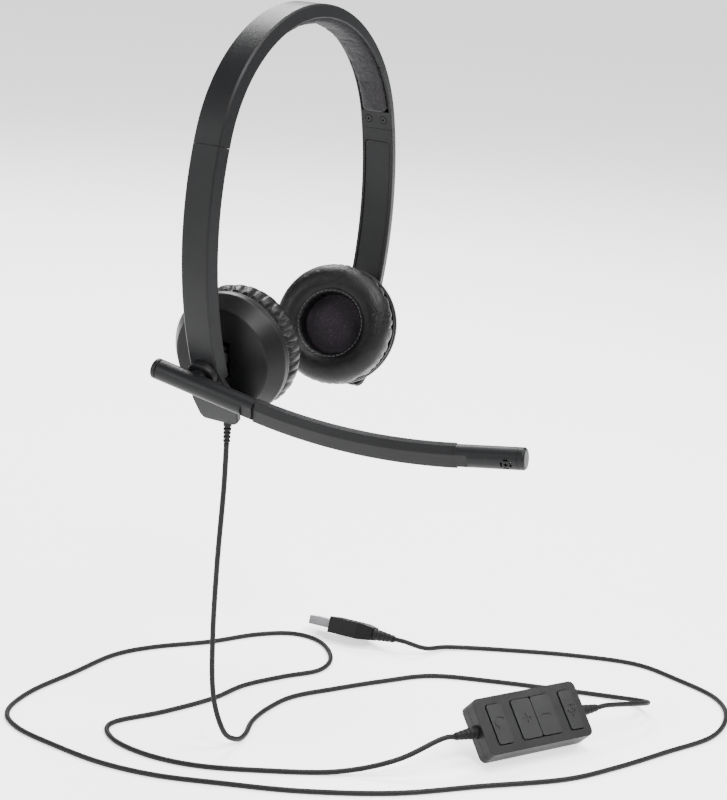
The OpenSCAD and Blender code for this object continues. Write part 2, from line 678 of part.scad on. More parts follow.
// Points on a smooth curve through the route's points
function spline(p, q, r, s, t) =
    0.5 * ((2 * q) + (r - p) * t + (2 * p - 5 * q + 4 * r - s) * t * t
           + (3 * q - p - 3 * r + s) * t * t * t);
function smooth_route(pts, steps) = let (n = len(pts)) concat(
    [for (i = [0:n - 2]) for (k = [0:steps - 1])
        spline(pts[max(i - 1, 0)], pts[i], pts[i + 1], pts[min(i + 2, n - 1)], k / steps)],
    [pts[n - 1]]);
function tangent(path, i) = unit(path[min(i + 1, len(path) - 1)] - path[max(i - 1, 0)]);
function across(v, t) = unit(v - t * (v * t));
// One side direction for each ring, carried along so that the tube doesn't twist
function side_dirs(path) =
    [for (i = 0, v = across([0.2, 1, 0.1], tangent(path, 0)); i < len(path);
          i = i + 1, v = i < len(path) ? across(v, tangent(path, i)) : v) v];
module tube(path, d, sides = 8) {
    dirs = side_dirs(path);
    n = len(path);
    rings = [for (i = [0:n - 1]) for (k = [0:sides - 1])
        let (a = 360 * k / sides, u = dirs[i], w = cross(tangent(path, i), u))
        path[i] + d / 2 * (cos(a) * u + sin(a) * w)];
    walls = [for (i = [0:n - 2]) for (k = [0:sides - 1])
        [i * sides + k, (i + 1) * sides + k, (i + 1) * sides + (k + 1) % sides, i * sides + (k + 1) % sides]];
    polyhedron(points = rings, faces = concat(walls,
        [[for (k = [0:sides - 1]) k]], [[for (k = [0:sides - 1]) n * sides - 1 - k]]), convexity = 10);
}
module cord_upper() { color("#1f1f21") tube(smooth_route(upper_route, 1), cord_d); }
module cord_lower() { color("#1f1f21") tube(smooth_route(lower_route, 1), cord_d); }

near_arm_shell();
near_arm_panel();
near_stud();
near_tab_cover();
far_arm_shell();
far_arm_panel();
far_stud();
far_tab_cover();
band_shell();
band_liner();
band_spring();
near_slider();
far_slider();
band_pad();
band_screws();
near_cup_shell();
near_gimbal();
near_baffle();
near_driver_frame();
near_driver_magnet();
near_driver_cone();
near_speaker_cloth();
near_cushion();
far_cup_shell();
far_gimbal();
far_baffle();
far_driver_frame();
far_driver_magnet();
far_driver_cone();
far_speaker_cloth();
far_cushion();
boom_barrel();
boom_clip();
boom_tail_cap();
boom_stem();
mic_body();
mic_element();
mic_end_cap();
controller_top();
controller_bottom();
answer_key();
volume_up_key();
volume_down_key();
mute_key();
controller_board();
key_switches();
controller_left_relief();
controller_right_relief();
controller_screws();
tab_relief();
cord_upper();
cord_lower();
plug_shell();
plug_tongue();
plug_contacts();
plug_body();
plug_relief();
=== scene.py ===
"""Office headset: the finishes, soft parts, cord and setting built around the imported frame."""

import json
import math

import bpy
from bpy.props import FloatProperty, FloatVectorProperty, IntProperty, PointerProperty
from mathutils import Matrix, Vector, noise


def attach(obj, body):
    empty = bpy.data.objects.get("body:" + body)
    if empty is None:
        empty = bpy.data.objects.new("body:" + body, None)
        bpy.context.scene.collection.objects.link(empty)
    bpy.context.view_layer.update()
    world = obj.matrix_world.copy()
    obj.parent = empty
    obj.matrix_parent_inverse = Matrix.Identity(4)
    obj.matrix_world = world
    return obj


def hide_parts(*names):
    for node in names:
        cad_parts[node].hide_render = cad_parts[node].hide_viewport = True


bl_info = {
    "name": "Office headset",
    "version": (1, 0, 0),
    "blender": (4, 5, 0),
    "location": "View3D > Sidebar > Headset",
    "description": "Builds an office headset's finishes, cushions, pad and cord on its frame",
    "category": "Object",
}

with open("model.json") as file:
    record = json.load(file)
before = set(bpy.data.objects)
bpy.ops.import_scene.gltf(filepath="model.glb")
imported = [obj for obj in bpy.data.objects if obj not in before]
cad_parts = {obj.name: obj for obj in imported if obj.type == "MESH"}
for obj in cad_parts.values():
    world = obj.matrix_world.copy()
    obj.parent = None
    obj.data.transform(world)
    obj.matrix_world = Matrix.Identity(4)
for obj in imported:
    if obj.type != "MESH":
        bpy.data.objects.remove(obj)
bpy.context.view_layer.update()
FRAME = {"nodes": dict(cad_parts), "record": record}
NODES = FRAME["nodes"]
RECORD = FRAME["record"]
BODY_OF = {n: b for b, ns in RECORD["behaviour"]["bodies"].items() for n in ns}
SLOT_OF = {s["node"]: s["material_slot"] for s in RECORD["subparts"]}
MM = 0.001

# ------------------------------------------------------- sizes that the frame shares, in mm
FLOOR_Z, FLOOR_RADIUS = -185.0, 9.0
CORD_D = 2.5
CORD_Z = FLOOR_Z + CORD_D / 2
TOP_Z, TOP_R, TOP_HALF, BAND_T = 152.5, 71.0, 75.0, 6.0
SIDE_R = 165.0
SIDE_CX = (TOP_R - SIDE_R) * math.sin(math.radians(TOP_HALF))
SIDE_CZ = TOP_Z - TOP_R + (TOP_R - SIDE_R) * math.cos(math.radians(TOP_HALF))
PAD_HALF, PAD_W, PAD_DROP = 71.7, 12.8, 2.8
PIVOT_X, GIMBAL_DEPTH = 47.5, 3.0
CUPS = {"near": (-1, 6.0, 9.0), "far": (1, 14.0, 14.0)}
EAR_R, CUSHION_Z, CLOTH_Z = 13.0, 12.1, 14.4
CTL_POS, CTL_TURN, CTL_L = (50.0, -117.0, -170.3), (45.0, 0.0, -25.0), 60.0
PLUG_POS, PLUG_TURN = (108.0, 30.0, -178.1), (20.0, 0.0, 97.0)
PLUG_BODY_L = 24.0
RELIEF_L = 12.0
TAB_RELIEF_END = (-48.0, -4.0, -38.5)

# ------------------------------------------------------ view and lamps, in metres and degrees
VIEW_AZIMUTH, VIEW_HEIGHT, VIEW_ROLL = -58.58, 14.65, 4.45
VIEW_TARGET, VIEW_DISTANCE, LENS_MM, SENSOR_MM = (0.0714, 0, -0.0411), 0.9636, 87.9, 36
WORLD_STRENGTH = 0.38
LAMPS_AIM = (0, 0, -0.02)
# Name, place, width across, power in watts
LAMPS = (("Key", (-0.6, -1.1, 1.5), 0.7, 50), ("Fill", (-1.5, 0.6, 0.6), 0.8, 20),
         ("Rim", (0.9, 0.9, 1.1), 0.6, 34), ("Top", (0.2, -0.1, 1.7), 0.9, 34),
         ("Front", (0.7, -0.95, 1.3), 0.7, 34))


# ------------------------------------------------------------------------------- properties
class HeadsetSizes(bpy.types.PropertyGroup):
    cord_diameter: FloatProperty(name="Cord diameter", description="Thickness of the cord's jacket",
                                 default=CORD_D * MM, min=0.0015, max=0.004, unit="LENGTH")
    edge_softness: FloatProperty(name="Edge softness", description="Width of the moulded edges' rounding",
                                 default=0.00045, min=0.0001, max=0.001, unit="LENGTH")
    pleat_count: IntProperty(name="Gathers", description="Gathers around a cushion's outer wall",
                             default=34, min=20, max=60)
    pleat_depth: FloatProperty(name="Gather depth", description="How deep the gathers fold in",
                               default=0.0013, min=0.0, max=0.002, unit="LENGTH")
    stitch_count: IntProperty(name="Stitches", description="Stitches around a cushion's ear opening",
                              default=46, min=20, max=80)
    puff: FloatProperty(name="Puff", description="How far a padded skin may swell from its pattern",
                        default=0.0011, min=0.0, max=0.003, unit="LENGTH")


class HeadsetColours(bpy.types.PropertyGroup):
    arm: FloatVectorProperty(name="Arms and band", description="Moulded plastic of the arms and band",
                             subtype="COLOR", size=3, min=0, max=1,
                             default=(0.0062, 0.0064, 0.0069))
    cup: FloatVectorProperty(name="Ear cups", description="Moulded plastic of the ear cups",
                             subtype="COLOR", size=3, min=0, max=1, default=(0.0046, 0.0046, 0.0050))
    leatherette: FloatVectorProperty(name="Leatherette", description="Skin of the ear cushions",
                                     subtype="COLOR", size=3, min=0, max=1,
                                     default=(0.0020, 0.0020, 0.0022))
    pad_cloth: FloatVectorProperty(name="Pad cloth", description="Knit over the headband's foam",
                                   subtype="COLOR", size=3, min=0, max=1, default=(0.0150, 0.0138, 0.0155))
    speaker_cloth: FloatVectorProperty(name="Speaker cloth", description="Thin cloth in the ear openings",
                                       subtype="COLOR", size=3, min=0, max=1,
                                       default=(0.0105, 0.0080, 0.0110))
    cord: FloatVectorProperty(name="Cord", description="Jacket of the cord", subtype="COLOR",
                              size=3, min=0, max=1, default=(0.0030, 0.0030, 0.0034))
    floor: FloatVectorProperty(name="Floor", description="Pale floor", subtype="COLOR",
                               size=3, min=0, max=1, default=(0.93, 0.93, 0.93))


# ---------------------------------------------------------------------------- shader maths
class Val:
    """A node socket that takes + - * with numbers and other values."""

    def __init__(self, shop, socket):
        self.shop, self.socket = shop, socket

    def _math(self, op, a, b):
        return self.shop.node("ShaderNodeMath", {"operation": op}, {0: a, 1: b})

    def __add__(self, o): return self._math("ADD", self, o)
    def __radd__(self, o): return self._math("ADD", o, self)
    def __sub__(self, o): return self._math("SUBTRACT", self, o)
    def __rsub__(self, o): return self._math("SUBTRACT", o, self)
    def __mul__(self, o): return self._math("MULTIPLY", self, o)
    def most(self, o): return self._math("MAXIMUM", self, o)

    def spread(self, low, high):
        """0 at low and 1 at high, held outside them."""
        return self.shop.node("ShaderNodeMapRange", {"clamp": True},
                              {"Value": self, "From Min": low, "From Max": high})


class Shop:
    """One material and what makes its nodes."""

    def __init__(self, name):
        self.mat = bpy.data.materials.new(name)
        self.mat.use_nodes = True
        self.tree = self.mat.node_tree
        self.tree.nodes.clear()
        self.coords = self.node("ShaderNodeTexCoord", {}, {}, "Object")

    def node(self, kind, settings, inputs, output=0):
        made = self.tree.nodes.new(kind)
        for key, value in settings.items():
            if key == "stops":
                ramp = made.color_ramp
                while len(ramp.elements) < len(value):
                    ramp.elements.new(0.5)
                for element, (place, colour) in zip(ramp.elements, value):
                    element.position = place
                    element.color = colour
            else:
                setattr(made, key, value)
        for key, value in inputs.items():
            socket = made.inputs[key]
            if isinstance(value, Val):
                self.tree.links.new(value.socket, socket)
            else:
                socket.default_value = value
        return Val(self, made.outputs[output])

    def noise(self, scale, detail=2.0, rough=0.5, place=None, output=0):
        return self.node("ShaderNodeTexNoise", {}, {"Vector": place or self.coords, "Scale": scale,
                         "Detail": detail, "Roughness": rough}, output)

    def cells(self, scale, feature="F1", place=None, output=0):
        return self.node("ShaderNodeTexVoronoi", {"feature": feature},
                         {"Vector": place or self.coords, "Scale": scale}, output)

    def turned(self, turn=(0, 0, 0), scale=(1, 1, 1), shift=(0, 0, 0)):
        return self.node("ShaderNodeMapping", {}, {"Vector": self.coords, "Location": shift,
                         "Rotation": turn, "Scale": scale})

    def blend(self, share, a, b):
        """Mixes two colours, each a triple or a value."""
        full = [c if isinstance(c, Val) else (*c, 1.0) for c in (a, b)]
        return self.node("ShaderNodeMix", {"data_type": "RGBA"}, {0: share, 6: full[0], 7: full[1]}, 2)

    def bump(self, height, distance, strength=1.0, under=None):
        inputs = {"Height": height, "Distance": distance, "Strength": strength}
        if under is not None:
            inputs["Normal"] = under
        return self.node("ShaderNodeBump", {}, inputs)

    def surface(self, colour, rough, normal=None, metal=0.0, **fixed):
        """Ends the material in one Principled shader."""
        inputs = {"Base Color": colour if isinstance(colour, Val) else (*colour, 1.0),
                  "Roughness": rough, "Metallic": metal}
        if normal is not None:
            inputs["Normal"] = normal
        inputs.update({k.replace("_", " ").title().replace("Ior", "IOR"): v for k, v in fixed.items()})
        shader = self.node("ShaderNodeBsdfPrincipled", {}, inputs)
        end = self.tree.nodes.new("ShaderNodeOutputMaterial")
        self.tree.links.new(shader.socket, end.inputs["Surface"])
        return self.mat


def lighter(colour, gain):
    return tuple(min(1.0, c * gain) for c in colour)


def moulded_plastic(name, colour, rough=0.46, grain=1.0):
    """Spark-eroded satin plastic: fine even grain, faint handling sheen and dust."""
    s = Shop(name)
    fine = s.noise(5200, 3, 0.6)
    pits = s.cells(3600, "SMOOTH_F1")
    handled = s.noise(38, 3, 0.55).spread(0.42, 0.68)
    dust = (s.noise(900, 2, 0.7).spread(0.62, 0.78)) * s.noise(21, 2).spread(0.4, 0.7)
    tone = s.blend(handled, lighter(colour, 0.92), lighter(colour, 1.10))
    tone = s.blend(dust * 0.10, tone, (0.09, 0.09, 0.09))
    roughness = rough + handled * -0.055 + fine * 0.06 + dust * 0.12
    normal = s.bump(fine * 0.6 + pits * 0.4, 0.00006 * grain, 0.55)
    return s.surface(tone, roughness, normal, specular_ior_level=0.14)


def leatherette(name, colour):
    """Soft black leatherette: pebbled grain with fine creases that catch light, and painted shade that
    darkens the grooves between the pebbles and lightens their tops.
    """
    s = Shop(name)
    place = s.node("ShaderNodeVectorMath", {"operation": "ADD"},
                   {0: s.coords, 1: s.node("ShaderNodeVectorMath", {"operation": "SCALE"},
                    {0: s.noise(260, 2, 0.5, output=1), "Scale": 0.0009})})
    pebbles = s.cells(1500, "DISTANCE_TO_EDGE", place).spread(0.0, 0.16)
    creases = s.cells(420, "DISTANCE_TO_EDGE", place).spread(0.0, 0.05)
    worn = s.noise(60, 3, 0.6).spread(0.45, 0.7)
    # Painted shade: darker in the grooves between the pebbles, lighter on their tops; the worn patches are
    # real wear.
    tone = s.blend(pebbles * 0.6 + worn * 0.25, lighter(colour, 0.62), lighter(colour, 1.45))
    roughness = 0.37 - worn * 0.07 - pebbles * 0.05
    normal = s.bump(pebbles, 0.00009, 0.55, s.bump(creases, 0.00012, 0.35))
    return s.surface(tone, roughness, normal, specular_ior_level=0.18)


def brushed_knit(name, colour):
    """Brushed knit over foam: speckled fibres, soft all over."""
    s = Shop(name)
    fleck = s.noise(1500, 4, 0.75)
    loops = s.cells(1900, "F1")
    tufts = s.noise(420, 3, 0.6)
    light = fleck.spread(0.55, 0.72) * 0.75
    dark = s.noise(1700, 3, 0.7).spread(0.52, 0.66) * 0.8
    tone = s.blend(light, colour, (0.070, 0.066, 0.072))
    tone = s.blend(dark, tone, lighter(colour, 0.34))
    tone = s.blend(tufts.spread(0.4, 0.62) * 0.35, tone, lighter(colour, 0.7))
    normal = s.bump(fleck * 0.6 + loops * 0.4, 0.00022, 0.8, s.bump(tufts, 0.0004, 0.4))
    return s.surface(tone, 0.93, normal, sheen_weight=0.06, sheen_roughness=0.5, specular_ior_level=0.2)


def open_mesh_cloth(name, colour, turn):
    """Thin woven speaker cloth, its threads set square to the cup."""
    s = Shop(name)
    place = s.turned(turn)
    wave = {"wave_type": "BANDS", "wave_profile": "SIN"}
    warp = s.node("ShaderNodeTexWave", {**wave, "bands_direction": "X"},
                  {"Vector": place, "Scale": 820.0, "Distortion": 0.4}, 1)
    weft = s.node("ShaderNodeTexWave", {**wave, "bands_direction": "Y"},
                  {"Vector": place, "Scale": 820.0, "Distortion": 0.4}, 1)
    weave = warp.most(weft)
    mottle = s.noise(240, 3, 0.6).spread(0.35, 0.7)
    lint = s.noise(1250, 2, 0.65).spread(0.55, 0.72)
    tone = s.blend(weave, lighter(colour, 0.3), lighter(colour, 1.7))
    tone = s.blend(mottle * 0.4, tone, lighter(colour, 0.6))
    tone = s.blend(lint * 0.55, tone, lighter(colour, 4.5))
    return s.surface(tone, 0.88, s.bump(weave, 0.00018, 0.7), sheen_weight=0.03, specular_ior_level=0.2)


def cord_rubber(name, colour, rough=0.52):
    """Matte extruded jacket or moulded rubber, with dust and faint rub marks."""
    s = Shop(name)
    skin = s.noise(2400, 3, 0.6)
    rubbed = s.noise(90, 3, 0.6).spread(0.5, 0.72)
    tone = s.blend(rubbed * 0.5, lighter(colour, 0.9), lighter(colour, 1.5))
    roughness = rough + skin * 0.12 - rubbed * 0.06
    return s.surface(tone, roughness, s.bump(skin, 0.00005, 0.4), specular_ior_level=0.20)


def bright_metal(name, colour, rough=0.24, brushed=(1, 1, 12)):
    """Plated or brushed metal with fine drawn lines."""
    s = Shop(name)
    lines = s.noise(900, 3, 0.6, s.turned(scale=brushed))
    stain = s.noise(140, 3, 0.6).spread(0.4, 0.75)
    tone = s.blend(stain * 0.35, colour, lighter(colour, 0.72))
    return s.surface(tone, rough + lines * 0.14 + stain * 0.08, s.bump(lines, 0.00003, 0.3), 1.0)


def lacquered_board(name):
    s = Shop(name)
    tracks = s.cells(330, "F1", output=1)
    share = s.node("ShaderNodeSeparateColor", {}, {0: tracks}).spread(0.45, 0.5)
    tone = s.blend(share, (0.012, 0.07, 0.03), (0.02, 0.12, 0.05))
    return s.surface(tone, 0.25 + share * 0.1, s.bump(share, 0.00005, 0.4), coat_weight=0.4)


def pale_floor(name, colour):
    s = Shop(name)
    tone = s.blend(s.noise(3.0, 2).spread(0.3, 0.7), lighter(colour, 0.985), lighter(colour, 1.01))
    return s.surface(tone, 0.62 + s.noise(40, 2) * 0.06,
                     emission_color=(*colour, 1.0), emission_strength=1.3)


def cushion_turn(side):
    """Mapping rotation that lays X and Y square to a cup's axis."""
    return tuple(cup_place(side).to_3x3().inverted().to_euler())


FINISHES = {}


def finish(slot):
    """The material of one of the record's slots, made once."""
    if slot in FINISHES:
        return FINISHES[slot]
    c = bpy.context.scene.headset_colours
    makers = {
        "arm_plastic": lambda: moulded_plastic("Arm plastic", tuple(c.arm), 0.45),
        "boom_plastic": lambda: moulded_plastic("Boom plastic", tuple(c.arm), 0.42, 0.8),
        "cup_plastic": lambda: moulded_plastic("Cup plastic", tuple(c.cup), 0.40),
        "controller_plastic": lambda: moulded_plastic("Controller plastic",
                                                      lighter(tuple(c.cup), 0.9), 0.44),
        "key_plastic": lambda: moulded_plastic("Key plastic", lighter(tuple(c.cup), 1.6), 0.42, 0.6),
        "plug_plastic": lambda: moulded_plastic("Plug plastic", lighter(tuple(c.cup), 0.8), 0.5, 1.4),
        "black_insert": lambda: moulded_plastic("Black insert", (0.006, 0.006, 0.0065), 0.5),
        "cone_film": lambda: moulded_plastic("Cone film", (0.03, 0.03, 0.033), 0.25, 0.2),
        "board": lambda: lacquered_board("Circuit board"),
        "leatherette": lambda: leatherette("Leatherette", tuple(c.leatherette)),
        "thread": lambda: cord_rubber("Sewing thread", (0.060, 0.060, 0.064), 0.6),
        "foam_cloth": lambda: brushed_knit("Brushed knit", tuple(c.pad_cloth)),
        "cord_jacket": lambda: cord_rubber("Cord jacket", tuple(c.cord)),
        "soft_rubber": lambda: cord_rubber("Moulded rubber", lighter(tuple(c.cord), 1.1), 0.56),
        "spring_steel": lambda: bright_metal("Spring steel", (0.17, 0.175, 0.18), 0.32),
        "screw_steel": lambda: bright_metal("Screw steel", (0.022, 0.022, 0.024), 0.34, (1, 1, 1)),
        "plug_metal": lambda: bright_metal("Plug nickel", (0.085, 0.085, 0.09), 0.27, (1, 6, 1)),
        "nickel": lambda: bright_metal("Nickel", (0.55, 0.56, 0.57), 0.26),
        "contact_metal": lambda: bright_metal("Contact gold", (0.78, 0.56, 0.22), 0.2),
    }
    FINISHES[slot] = makers[slot]()
    return FINISHES[slot]


# ------------------------------------------------------------------------------ small tools
def deselect():
    if bpy.context.object and bpy.context.object.mode != "OBJECT":
        bpy.ops.object.mode_set(mode="OBJECT")
    bpy.ops.object.select_all(action="DESELECT")


def pick(obj):
    deselect()
    obj.select_set(True)
    bpy.context.view_layer.objects.active = obj


def apply_modifiers(obj):
    pick(obj)
    for modifier in list(obj.modifiers):
        bpy.ops.object.modifier_apply(modifier=modifier.name)


def smooth(obj, degrees=30):
    pick(obj)
    bpy.ops.object.shade_smooth_by_angle(angle=math.radians(degrees))


def mesh_piece(name, verts, faces):
    mesh = bpy.data.meshes.new(name)
    mesh.from_pydata([tuple(v) for v in verts], [], faces)
    mesh.validate()
    obj = bpy.data.objects.new(name, mesh)
    bpy.context.scene.collection.objects.link(obj)
    return obj


def paint(obj, material):
    obj.data.materials.clear()
    obj.data.materials.append(material)


def settle(obj, body, slot, *stands_for, material=None):
    """Gives a piece its finish, its body and what it stands for."""
    paint(obj, material or finish(slot))
    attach(obj, body)
    if stands_for:
        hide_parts(*stands_for)
    return obj


def soften(node, width, angle=34, segments=2):
    """A copy of a moulded node with its edges rounded; it stands for the node."""
    copy = NODES[node].copy()
    copy.data = NODES[node].data.copy()
    for key in list(copy.keys()):
        del copy[key]
    copy.name = node + "_moulded"
    copy.parent = None
    bpy.context.scene.collection.objects.link(copy)
    pick(copy)
    bpy.ops.object.mode_set(mode="EDIT")
    bpy.ops.mesh.select_all(action="SELECT")
    bpy.ops.mesh.remove_doubles(threshold=0.000004)
    bpy.ops.mesh.dissolve_limited(angle_limit=math.radians(0.05))
    bpy.ops.object.mode_set(mode="OBJECT")
    bevel = copy.modifiers.new("Edges", "BEVEL")
    bevel.width = width
    bevel.segments = segments
    bevel.limit_method = "ANGLE"
    bevel.angle_limit = math.radians(angle)
    bevel.use_clamp_overlap = True
    bevel.harden_normals = False
    apply_modifiers(copy)
    even_shading(copy, 46)
    settle(copy, BODY_OF[node], SLOT_OF[node], node)
    return copy


def even_shading(obj, degrees):
    """Smooth shading in which the large faces stay flat."""
    smooth(obj, degrees)
    weigh = obj.modifiers.new("Faces first", "WEIGHTED_NORMAL")
    weigh.keep_sharp = True
    apply_modifiers(obj)


def refine(obj):
    """One subdivision for a soft piece."""
    finer = obj.modifiers.new("Finer", "SUBSURF")
    finer.levels = finer.render_levels = 1
    apply_modifiers(obj)
    smooth(obj, 70)


def turn_matrix(degrees):
    x, y, z = (math.radians(d) for d in degrees)
    return Matrix.Rotation(z, 4, "Z") @ Matrix.Rotation(y, 4, "Y") @ Matrix.Rotation(x, 4, "X")


def cup_place(side):
    """Carries a cup's own frame, +Z towards the head, into the shared frame; lengths in mm."""
    sign, yaw, tilt = CUPS[side]
    return (Matrix.Translation((sign * PIVOT_X, 0, 0))
            @ turn_matrix((0, 90 - tilt, yaw if sign < 0 else yaw + 180))
            @ Matrix.Translation((0, 0, -GIMBAL_DEPTH)))


def ring_mesh(name, rows, place, closed_profile=True):
    """Skins rings of points, each row one ring round the cup, and puts them in place."""
    count = len(rows[0])
    verts = [(place @ Vector(p)) * MM for row in rows for p in row]
    faces = []
    last = len(rows) if closed_profile else len(rows) - 1
    for j in range(last):
        k = (j + 1) % len(rows)
        for i in range(count):
            n = (i + 1) % count
            faces.append((j * count + i, j * count + n, k * count + n, k * count + i))
    return mesh_piece(name, verts, faces)


def spun(line, around):
    """Rows of points round the cup's axis, one for each (radius, height)."""
    return [[(r * math.cos(2 * math.pi * i / around), r * math.sin(2 * math.pi * i / around), z)
             for i in range(around)] for r, z in line]


def outward(obj):
    pick(obj)
    bpy.ops.object.mode_set(mode="EDIT")
    bpy.ops.mesh.select_all(action="SELECT")
    bpy.ops.mesh.remove_doubles(threshold=0.000001)
    bpy.ops.mesh.normals_make_consistent(inside=False)
    bpy.ops.object.mode_set(mode="OBJECT")


def through(points, steps, closed=False):
    """A smooth line through points, each a tuple, with steps to a span."""
    n = len(points)
    spans = n if closed else n - 1
    line = []
    for i in range(spans):
        pick_at = (lambda k: points[k % n]) if closed else (lambda k: points[min(max(k, 0), n - 1)])
        p0, p1, p2, p3 = (Vector(pick_at(i + k)) for k in (-1, 0, 1, 2))
        for k in range(steps):
            t = k / steps
            line.append(0.5 * (2 * p1 + (p2 - p0) * t + (2 * p0 - 5 * p1 + 4 * p2 - p3) * t * t
                               + (3 * p1 - p0 - 3 * p2 + p3) * t ** 3))
    if not closed:
        line.append(Vector(points[-1]))
    return line


def swell(obj, pinned, cap, pressure=4.0, grow=0.0):
    """Blows a sewn skin out with cloth, held where it is sewn, then keeps it within cap of its pattern."""
    pattern = [v.co.copy() for v in obj.data.vertices]
    pins = obj.vertex_groups.new(name="sewn")
    pins.add([i for i in range(len(pattern)) if pinned[i]], 1.0, "REPLACE")
    pick(obj)
    cloth = obj.modifiers.new("Skin", "CLOTH")
    cloth.settings.quality = 5
    cloth.settings.mass = 0.12
    cloth.settings.tension_stiffness = 12
    cloth.settings.compression_stiffness = 12
    cloth.settings.shear_stiffness = 6
    cloth.settings.bending_stiffness = 0.2
    cloth.settings.use_pressure = True
    cloth.settings.uniform_pressure_force = pressure
    cloth.settings.shrink_min = -grow
    cloth.settings.vertex_group_mass = "sewn"
    cloth.settings.effector_weights.gravity = 0
    cloth.collision_settings.use_collision = False
    scene = bpy.context.scene
    for frame in range(1, 21):
        scene.frame_set(frame)
    bpy.ops.object.modifier_apply(modifier=cloth.name)
    scene.frame_set(1)
    for vertex, start in zip(obj.data.vertices, pattern):
        move = vertex.co - start
        if move.length > cap:
            vertex.co = start + move * (cap / move.length)
    obj.vertex_groups.clear()


# -------------------------------------------------------------------------------- the stage
class HEADSET_OT_stage(bpy.types.Operator):
    """Camera, soft studio light and a pale floor"""
    bl_idname = "headset.stage"
    bl_label = "Stage"

    def execute(self, context):
        scene = context.scene
        az, el, roll = (math.radians(d) for d in (VIEW_AZIMUTH, VIEW_HEIGHT, VIEW_ROLL))
        back = Vector((math.sin(az) * math.cos(el), -math.cos(az) * math.cos(el), math.sin(el)))
        right = Vector((math.cos(az), math.sin(az), 0))
        up = back.cross(right)
        across = math.cos(roll) * right + math.sin(roll) * up
        upward = -math.sin(roll) * right + math.cos(roll) * up
        data = bpy.data.cameras.new("Camera")
        data.sensor_width = SENSOR_MM
        data.lens = LENS_MM
        data.clip_start, data.clip_end = 0.02, 60
        camera = bpy.data.objects.new("Camera", data)
        scene.collection.objects.link(camera)
        turn = Matrix((across, upward, back)).transposed().to_4x4()
        camera.matrix_world = Matrix.Translation(Vector(VIEW_TARGET) + back * VIEW_DISTANCE) @ turn
        scene.camera = camera

        deselect()
        bpy.ops.mesh.primitive_circle_add(vertices=96, radius=FLOOR_RADIUS, fill_type="NGON",
                                          location=(0, 0, FLOOR_Z * MM))
        floor = context.object
        floor.name = "Floor"
        bpy.ops.object.transform_apply(location=True, rotation=True, scale=True)
        paint(floor, pale_floor("Pale floor", tuple(scene.headset_colours.floor)))

        world = bpy.data.worlds.new("Studio")
        scene.world = world
        world.use_nodes = True
        sky = world.node_tree.nodes["Background"]
        sky.inputs["Color"].default_value = (1.0, 1.0, 1.0, 1)
        sky.inputs["Strength"].default_value = WORLD_STRENGTH
        for name, place, size, power in LAMPS:
            lamp = bpy.data.lights.new(name, "AREA")
            lamp.shape = "DISK"
            lamp.size = size
            lamp.energy = power
            holder = bpy.data.objects.new(name, lamp)
            scene.collection.objects.link(holder)
            look = (Vector(place) - Vector(LAMPS_AIM)).to_track_quat("Z", "Y")
            holder.matrix_world = Matrix.Translation(place) @ look.to_matrix().to_4x4()
        return {"FINISHED"}


# --------------------------------------------------------------------------------- the cord
def in_controller(x, y=0.0, z=0.0):
    return tuple(Matrix.Translation(CTL_POS) @ turn_matrix(CTL_TURN) @ Vector((x, y, z)))


def in_plug(x, y=0.0, z=0.0):
    return tuple(Matrix.Translation(PLUG_POS) @ turn_matrix(PLUG_TURN) @ Vector((x, y, z)))


def floor_points(*pairs):
    return [(x, y, CORD_Z) for x, y in pairs]


UPPER_ROUTE = ([TAB_RELIEF_END, (-48, -4, -60), (-49, -3.5, -95), (-49, -3.5, -130), (-48, -5, -158),
                (-44, -9, -176), (-36, -11, CORD_Z + 1.5)]
               + floor_points((-26, -9), (-12, -3), (5, 0), (25, -1), (47, -11), (72, -24), (95, -39),
                              (110, -65), (126, -100))
               + [(135, -124, CORD_Z + 0.5), (134, -138, CORD_Z + 3), (122, -146, CORD_Z + 8),
                  in_controller(CTL_L / 2 + RELIEF_L + 8), in_controller(CTL_L / 2 + RELIEF_L),
                  in_controller(CTL_L / 2 + 2), in_controller(CTL_L / 2 - 8)])
LOWER_ROUTE = ([in_controller(-CTL_L / 2 - RELIEF_L), in_controller(-CTL_L / 2 - RELIEF_L - 8),
                (-14, -84, CORD_Z + 6), (-32, -64, CORD_Z + 0.5)]
               + floor_points((-52, -38), (-68, -12), (-74, 12), (-71, 34), (-58, 45), (-32, 35), (-4, 27),
                              (20, 25), (42, 17), (62, 8), (80, 13), (94, 29), (94, 46), (79, 60), (54, 72),
                              (28, 89), (6, 97), (-24, 97), (-56, 97), (-80, 90), (-91, 74), (-94, 48),
                              (-94, 22), (-88, -4), (-75, -31), (-58, -62), (-32, -95), (0, -121),
                              (32, -147), (60, -160), (92, -171), (124, -181), (152, -177), (171, -163),
                              (180, -138), (184, -112), (172, -82), (154, -52))
               + [(135, -27, CORD_Z + 0.5), (121, -20, CORD_Z + 2),
                  in_plug(-PLUG_BODY_L - RELIEF_L - 6), in_plug(-PLUG_BODY_L - RELIEF_L)])


CORDS = (("hanging_cord", UPPER_ROUTE, "cord_upper"), ("plug_cord", LOWER_ROUTE, "cord_lower"))


def cord_line(route):
    return [p * MM for p in through(route, 8)]


def cord_curve(name, route, diameter):
    line = cord_line(route)
    data = bpy.data.curves.new(name, "CURVE")
    data.dimensions = "3D"
    data.bevel_depth = diameter / 2
    data.bevel_resolution = 5
    data.use_fill_caps = True
    spline = data.splines.new("POLY")
    spline.points.add(len(line) - 1)
    for point, place in zip(spline.points, line):
        point.co = (*place, 1)
    obj = bpy.data.objects.new(name, data)
    bpy.context.scene.collection.objects.link(obj)
    return obj


class HEADSET_OT_cord(bpy.types.Operator):
    """The cord from the headset to the controller and on to the plug"""
    bl_idname = "headset.cord"
    bl_label = "Cord"

    def execute(self, context):
        for name, route, node in CORDS:
            settle(cord_curve(name, route, context.scene.headset_sizes.cord_diameter),
                   BODY_OF[node], SLOT_OF[node], node)
        return {"FINISHED"}


